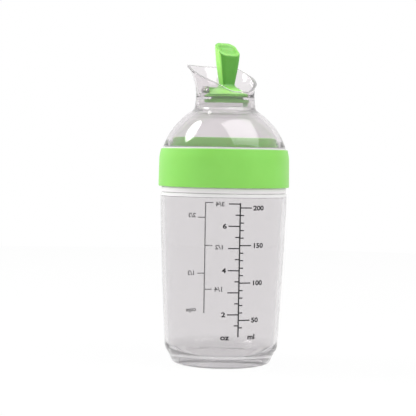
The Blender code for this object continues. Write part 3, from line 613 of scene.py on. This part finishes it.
cut_or_join(lid, rod("pin_pocket", 1.35, POCKET_HALF), "DIFFERENCE")
slot = box("pin_slot", (PIN_X - 0.95, -POCKET_HALF, PIN_Z), (PIN_X + 0.95, POCKET_HALF, PIN_Z + 4.0))
cut_or_join(lid, slot, "DIFFERENCE")
bpy.ops.object.select_all(action="DESELECT")
bpy.ops.mesh.primitive_cylinder_add(
    vertices=96, radius=8.9 * MM, depth=4 * MM, location=(VALVE_X * MM, 0, 136.4 * MM)
)
cut_or_join(lid, bpy.context.object, "DIFFERENCE")
smooth(lid)

# The spout's lip is a little frosted where the mould parts, and so is the neck's foot.
frost = lid.data.attributes.new("frost", "FLOAT", "POINT")
for vertex in lid.data.vertices:
    height = vertex.co.z / MM - WAIST_Z
    if height > 0 and math.hypot(vertex.co.x, vertex.co.y) > NECK_BORE * MM:
        below = spout_height(math.atan2(vertex.co.y, vertex.co.x)) - height
        frost.data[vertex.index].value = LIP_FROST * (below < LIP_ROUND + 0.1)
    elif 129.0 < vertex.co.z / MM < 133.5:
        frost.data[vertex.index].value = NECK_FOOT_FROST
paint(lid, clear_plastic("clear_styrene_lid", "#efebed", 0.025, 0.011, 16.0))
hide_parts("dome_lid")
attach(lid, "lid")

# ---------------------------------------------------------------------------------------------
# Grip sleeve: soft green thermoplastic rubber, moulded as a ring and pushed over the lid's skirt.
# Its side is a smooth matte band that draws in at the top, with small rounded edges.

SLEEVE_RADIUS = 33.6
SLEEVE_DRAW = 0.8
outline = [(32.4, 110.4), (32.45, 110.65)] + bend(32.1, 109.85, 0.85, 62, 12, 6)
for i in range(1, 13):
    share = i / 12
    outline.append((SLEEVE_RADIUS - SLEEVE_DRAW * (1 - share) ** 2, 110.1 - 5.5 * share))
outline += bend(33.3, 91.8, 0.5, 0, -90, 6) + bend(32.7, 91.5, 0.3, -90, -180, 3)
sleeve = lathe("grip_ring", outline, 192)
smooth(sleeve)

# Thermoplastic rubber: a matte skin with a fine spark-eroded grain, drawn at 0.35 mm so that it
# shows, slow cloudy changes of tone from the moulding, and slightly shinier patches from hands.
grip_rubber, shader = new_material("green_thermoplastic_rubber")
shader.inputs["IOR"].default_value = 1.48
shader.inputs["Subsurface Weight"].default_value = 0.08
shader.inputs["Subsurface Scale"].default_value = 0.001
place = object_place(grip_rubber)
cloud = noise(grip_rubber, place, 55.0, 3.0)
feed(shader, "Base Color", mix_colours(grip_rubber, cloud, "#7fc94f", "#8bd65f"))
hands = noise(grip_rubber, place, 90.0, 2.0)
feed(shader, "Roughness", spread(grip_rubber, hands, 0.3, 0.48))
relief(grip_rubber, shader, noise(grip_rubber, place, 2900.0, 3.0), 0.00002)
paint(sleeve, grip_rubber)
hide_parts("grip_sleeve")
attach(sleeve, "lid")

# ---------------------------------------------------------------------------------------------
# Seat seal: a green silicone grommet snapped into the hole of the lid's shelf. Its bore is the
# valve's cone-shaped seat, and a small tab below the shelf is there to pull it out for washing.

SEAL_TOP = 137.842
SEAL_BOTTOM = 134.042
SEAT_TOP_RADIUS = 8.0
SEAT_SLOPE = 0.7002
outline = [(SEAT_TOP_RADIUS, SEAL_TOP)] + bend(11.3, SEAL_TOP - 0.25, 0.25, 90, 0, 3)
outline += [(11.55, 137.142), (8.6, 137.142), (8.6, 135.742), (11.4, 135.742)]
outline += bend(10.9, SEAL_BOTTOM + 0.5, 0.5, 0, -90, 4) + [(SEAT_TOP_RADIUS - SEAT_SLOPE * 3.8, SEAL_BOTTOM)]
seal = lathe("seat_grommet", outline, 128, VALVE_X)
tab_foot = (VALVE_X + 8.5, -1.2, SEAL_BOTTOM - 2.5)
tab = box("pull_tab", tab_foot, (VALVE_X + 10.8, 1.2, SEAL_BOTTOM + 0.8), 0.3)
valve_axis = Vector((VALVE_X * MM, 0, 0))
tab_turn = Matrix.Rotation(math.radians(55), 4, "Z")
tab.data.transform(Matrix.Translation(valve_axis) @ tab_turn @ Matrix.Translation(-valve_axis))
cut_or_join(seal, tab, "UNION")
smooth(seal)
paint(seal, silicone("green_silicone_seat", "#98f060", "#86e04e"))
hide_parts("seat_seal")
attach(seal, "lid")

# ---------------------------------------------------------------------------------------------
# Hinge pin: stainless steel wire, cut to length with its ends chamfered, pressed down into the
# open slots of the two lugs.

pin = rod("steel_pin", 1.2, 11.5, 64)
bpy.ops.object.mode_set(mode="EDIT")
bpy.ops.mesh.select_all(action="DESELECT")
bpy.ops.object.mode_set(mode="OBJECT")
for polygon in pin.data.polygons:
    polygon.select = abs(polygon.normal.y) > 0.9
bpy.ops.object.mode_set(mode="EDIT")
bpy.ops.mesh.select_mode(type="FACE")
bpy.ops.mesh.bevel(offset=0.25 * MM, segments=3)
bpy.ops.object.mode_set(mode="OBJECT")
smooth(pin)

# Drawn stainless steel: bright, with fine draw lines along the wire.
steel, shader = new_material("drawn_stainless_steel")
shader.inputs["Base Color"].default_value = rgb("#a9a7a4")
shader.inputs["Metallic"].default_value = 1.0
stretch = {"Vector": object_place(steel), "Scale": (9000.0, 400.0, 9000.0)}
along = add_node(steel, "ShaderNodeMapping", stretch).outputs["Vector"]
feed(shader, "Roughness", spread(steel, noise(steel, along, 1.0, 2.0), 0.18, 0.38))
paint(pin, steel)
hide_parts("hinge_pin")
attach(pin, "lid")

# ---------------------------------------------------------------------------------------------
# Lever: green polypropylene, one moulding of a thin round plate that rises in a low cone, the
# hinge barrel, and a stem that widens upwards to a slanting, dished thumb pad. A stud below
# carries the plug.

PLATE_Z = 138.0
PLATE_TOP = 138.8
BARREL_RADIUS = 2.2
BARREL_HALF = 8.7
PAD_SLOPE = 0.92
PAD_LENGTH = 8.3
PAD_WIDTH = 14.0
PAD_OVAL = 0.7
STEM_LENGTH = 4.4
STEM_WIDTH = 6.9
PLATE_FRONT_X = PIN_X + 0.55
NOTCH_X = PIN_X + 3.623
outline = [(0.0, PLATE_TOP)] + bend(10.95, PLATE_TOP - 0.25, 0.25, 90, 0, 4)
outline += bend(11.0, PLATE_Z + 0.2, 0.2, 0, -90, 3) + [(0.0, PLATE_Z)]
lever = lathe("lever_body", outline, 128, VALVE_X)


def loft(name, rings, corner=0.27):
    """Extrudes a rounded rectangle through rings of (z, length, width, slope, oval) round the valve's
    axis: the height of the middle, the size along X and Y, how steeply the ring falls towards +X, and
    how far it turns from a rounded rectangle into an oval."""
    bpy.ops.object.select_all(action="DESELECT")
    bpy.ops.mesh.primitive_plane_add(size=1.0)
    piece = bpy.context.object
    piece.name = name
    bpy.ops.object.mode_set(mode="EDIT")
    bpy.ops.mesh.select_all(action="SELECT")
    bpy.ops.mesh.bevel(offset=corner, segments=8, affect="VERTICES")
    bpy.ops.mesh.select_all(action="SELECT")
    flat = [v.co.copy() for v in bmesh.from_edit_mesh(piece.data).verts]
    before = flat
    for number, (z, length, width, slope, oval) in enumerate(rings):
        if number:
            bpy.ops.mesh.extrude_region_move()
        shape = bmesh.from_edit_mesh(piece.data)
        shaped = [p.lerp(p.normalized() * 0.5, oval) for p in flat]
        after = [Vector((VALVE_X + p.x * length, p.y * width, z - p.x * length * slope)) * MM for p in shaped]
        for vertex in [v for v in shape.verts if v.select]:
            nearest = min(range(len(flat)), key=lambda k: (before[k] - vertex.co).length)
            vertex.co = after[nearest]
        before = after
        bmesh.update_edit_mesh(piece.data)
    turn_outwards()
    return piece


cone = loft("plate_cone", [
    (138.6, 21.9, 21.9, 0, 1.0), (139.0, 21.3, 21.4, 0, 1.0), (139.8, 18.4, 19.0, 0, 0.9),
    (140.7, 14.8, 16.2, 0, 0.8), (141.6, 11.2, 13.2, 0, 0.6), (142.4, 8.2, 10.6, 0, 0.4),
    (143.1, 6.4, 8.8, 0, 0.2), (143.9, 5.2, 7.6, 0, 0), (144.8, 4.6, 7.0, 0, 0),
])
cut_or_join(lever, cone, "UNION")

# The plate ends along the barrel, and leaves room for the lugs beside it.
cut_or_join(lever, box("plate_front", (-30, -20, 130), (PLATE_FRONT_X, 20, 150)), "DIFFERENCE")
for side in (-1, 1):
    ends = sorted((side * 8.1, side * 20))
    cut_or_join(lever, box("lug_notch", (-30, ends[0], 130), (NOTCH_X, ends[1], 150)), "DIFFERENCE")
cut_or_join(lever, rod("barrel", BARREL_RADIUS, BARREL_HALF, 64), "UNION")

# The stem widens and turns oval towards the pad, whose rim folds over into the thumb's dish.
stem_rings = [(140.5, STEM_LENGTH, STEM_WIDTH, 0, 0)]
for i in range(1, 13):
    share = i / 12
    length = STEM_LENGTH + (PAD_LENGTH - STEM_LENGTH) * share
    width = STEM_WIDTH + (PAD_WIDTH - STEM_WIDTH) * share
    oval = PAD_OVAL * (max(0.0, share - 0.5) / 0.5) ** 1.5
    stem_rings.append((141.5 + 19.8 * share, length, width, PAD_SLOPE * share**2, oval))
for z, length, width in (
    (161.78, PAD_LENGTH, PAD_WIDTH), (162.13, 8.0, 13.6), (162.28, 7.4, 12.9), (162.23, 6.0, 11.2),
    (161.98, 5.2, 10.2), (161.48, 4.6, 9.3), (161.03, 3.7, 7.9), (160.83, 2.4, 5.6), (160.78, 1.0, 2.4),
):
    stem_rings.append((z, length, width, PAD_SLOPE, PAD_OVAL))
cut_or_join(lever, loft("stem", stem_rings), "UNION")
stud_outline = [(0.0, 139.0), (1.6, 139.0), (1.6, 134.842), (2.6, 134.842), (2.1, 133.942), (0.0, 133.942)]
cut_or_join(lever, lathe("stud", stud_outline, 48, VALVE_X), "UNION")

# The moulded body is one skin with small fillets where its parts meet.
skin = lever.modifiers.new("skin", "REMESH")
skin.mode = "VOXEL"
skin.voxel_size = 0.22 * MM
soft = lever.modifiers.new("fillets", "SMOOTH")
soft.factor = 0.5
soft.iterations = 5
apply_all(lever)
cut_or_join(lever, rod("barrel_bore", 1.4, 11.0, 48), "DIFFERENCE")
smooth(lever, 45)

# Painted light: how much of a lighter green each place gets, standing in for how light falls. The stem's
# narrow sides are painted as lit faces, the pad's upward faces as lit from above, its rim with a painted
# highlight, and the plate with its cone as lit, less so the barrel.
painted_light = lever.data.attributes.new("painted_light", "FLOAT", "POINT")
for vertex in lever.data.vertices:
    x, y, z = vertex.co / MM
    narrow_side = clamp((abs(vertex.normal.y) - 0.62) / 0.2) * (z > 143.0)
    on_pad = clamp((vertex.normal.z - 0.1) / 0.4) * (z > 150.0)
    rim_highlight = clamp((z + (x - VALVE_X) * PAD_SLOPE - 161.8) / 0.4) * on_pad
    off_barrel = math.hypot(x - PIN_X, z - PIN_Z) - BARREL_RADIUS
    on_barrel = 0.0 if abs(y) > 9.0 else 1.0 - clamp(off_barrel / 0.3)
    on_plate = clamp((143.8 - z) / 3.0) * (1.0 - 0.45 * on_barrel)
    painted_light.data[vertex.index].value = max(narrow_side, 0.45 * on_pad, 0.65 * rim_highlight, on_plate)

# Polypropylene: a satin moulded skin, slightly waxy, with a fine grain and faint flow clouds.
lever_plastic, shader = new_material("green_polypropylene")
shader.inputs["IOR"].default_value = 1.49
shader.inputs["Subsurface Weight"].default_value = 0.1
shader.inputs["Subsurface Scale"].default_value = 0.001
place = object_place(lever_plastic)
cloud = noise(lever_plastic, place, 120.0, 3.0)
tones = mix_colours(lever_plastic, cloud, "#4d972a", "#58a234")
# Painted light: the per-point values mix the base tones towards a lighter green on the painted lit faces and
# the rim's painted highlight.
painted_light_share = add_node(lever_plastic, "ShaderNodeAttribute", attribute_name="painted_light").outputs["Fac"]
feed(shader, "Base Color", mix_colours(lever_plastic, painted_light_share, tones, "#a8f476"))
feed(shader, "Roughness", spread(lever_plastic, cloud, 0.24, 0.38))
relief(lever_plastic, shader, noise(lever_plastic, place, 3500.0, 2.0), 0.00001)
paint(lever, lever_plastic)
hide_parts("lever")
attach(lever, "lever")

# ---------------------------------------------------------------------------------------------
# Plug seal: a green silicone cone with a bore, buttoned over the lever's stud. It closes the
# valve by sitting in the seat seal's cone.

PLUG_TOP = 137.942
PLUG_BOTTOM = 135.142
PLUG_BORE = 1.9
outline = [(PLUG_BORE, PLUG_TOP), (7.55, PLUG_TOP)] + bend(7.4, PLUG_TOP - 0.3, 0.2, 60, -30, 3)
outline += [(5.75, PLUG_BOTTOM + 0.1), (5.65, PLUG_BOTTOM), (PLUG_BORE, PLUG_BOTTOM)]
plug = lathe("plug_cone", outline, 128, VALVE_X)
smooth(plug)
paint(plug, silicone("green_silicone_plug", "#93de66", "#80cc55"))
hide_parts("plug_seal")
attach(plug, "lever")

# ---------------------------------------------------------------------------------------------
# Floor: a round table top, which shows as white as the studio apart from the bottle's soft shadow.

bpy.ops.object.select_all(action="DESELECT")
bpy.ops.mesh.primitive_circle_add(vertices=96, radius=0.9, fill_type="NGON", location=(0, 0, 0))
floor = bpy.context.object
floor.name = "floor"


def seen_directly(owner):
    """1 for the camera's rays and for those that clear or shiny surfaces send on, 0 for the rest."""
    ray = add_node(owner, "ShaderNodeLightPath").outputs
    sent_on = compute(owner, "MAXIMUM", ray["Is Glossy Ray"], ray["Is Transmission Ray"])
    return compute(owner, "MAXIMUM", ray["Is Camera Ray"], sent_on)


# Matte white laminate. The camera and the clear plastic see it nearly white, as they see the
# studio, with a faint shadow, and it lights the bottle from below as plain laminate would.
table, shader = new_material("white_laminate")
shader.inputs["Base Color"].default_value = rgb("#f2f2f2")
shader.inputs["Roughness"].default_value = 0.7
share = compute(table, "MULTIPLY", seen_directly(table), 0.95)
white = add_node(table, "ShaderNodeEmission", {"Color": (1, 1, 1, 1), "Strength": 1.0})
seen = add_node(table, "ShaderNodeMixShader", {0: share, 1: shader.outputs[0], 2: white.outputs[0]})
feed(table.node_tree.nodes["Material Output"], "Surface", seen.outputs[0])
paint(floor, table)

# ---------------------------------------------------------------------------------------------
# Light: two soft boxes above, whose reflections show on the dome, and three tall ones beside and
# behind the bottle, whose reflections are left out, in a white studio.

VIEW = math.radians(55.0)
RIGHT = Vector((math.cos(VIEW), math.sin(VIEW), 0))
TOWARD = Vector((math.sin(VIEW), -math.cos(VIEW), 0))
UP = Vector((0, 0, 1))
AIM = Vector((0, 0, 0.09))


def soft_box(name, direction, along, distance, length, width, glow, shape="RECTANGLE", reflected=True):
    """A flat lamp in a direction seen from the camera's side, with its long edge along another;
    both are given as right, towards the camera and up. Its glow is its radiance."""
    away = (RIGHT * direction[0] + TOWARD * direction[1] + UP * direction[2]).normalized()
    side = RIGHT * along[0] + TOWARD * along[1] + UP * along[2]
    side = (side - away * side.dot(away)).normalized()
    lamp = bpy.data.lights.new(name, "AREA")
    lamp.shape = shape
    lamp.size = length
    lamp.size_y = width
    lamp.energy = glow * math.pi * length * width
    holder = bpy.data.objects.new(name, lamp)
    holder.visible_glossy = holder.visible_transmission = reflected
    bpy.context.scene.collection.objects.link(holder)
    turn = Matrix((side, away.cross(side), away)).transposed().to_4x4()
    holder.matrix_world = Matrix.Translation(AIM + away * distance) @ turn


soft_box("left_high", (-0.677, -0.08, 0.744), (-0.655, 0.577, -0.485), 0.9, 0.54, 0.27, 7.0, "ELLIPSE")
soft_box("right_high", (0.42, 0.25, 0.86), (0.72, -0.62, -0.25), 0.9, 0.76, 0.78, 2.5)
soft_box("left_side", (-0.85, 0.52, 0.10), (0, 0, 1), 1.1, 0.9, 0.6, 1.5, reflected=False)
soft_box("right_side", (0.92, 0.38, 0.10), (0, 0, 1), 1.1, 0.9, 0.55, 1.65, reflected=False)
soft_box("left_back", (-0.95, -0.28, 0.12), (0, 0, 1), 1.1, 0.9, 0.5, 3.2, reflected=False)

# The world is white to the camera and in the clear plastic, and lights the bottle evenly.
world = bpy.data.worlds.new("white_studio")
bpy.context.scene.world = world
world.use_nodes = True
background = world.node_tree.nodes["Background"]
background.inputs["Color"].default_value = (1, 1, 1, 1)
feed(background, "Strength", spread(world, seen_directly(world), 0.5, 1.0))

# ---------------------------------------------------------------------------------------------
# Camera: a long lens 0.7 m away and a little above the bottle's middle.

lens = bpy.data.cameras.new("camera")
lens.lens = 116.9
lens.sensor_width = 36.0
camera = bpy.data.objects.new("camera", lens)
bpy.context.scene.collection.objects.link(camera)
camera.matrix_world = (
    Matrix.Translation(TOWARD * 0.7 + UP * 0.1055)
    @ Matrix.Rotation(VIEW + math.radians(0.65), 4, "Z")
    @ Matrix.Rotation(math.radians(90 - 2.08), 4, "X")
    @ Matrix.Rotation(math.radians(1.0), 4, "Z")
)
bpy.context.scene.camera = camera
bpy.context.scene.view_settings.view_transform = "Standard"
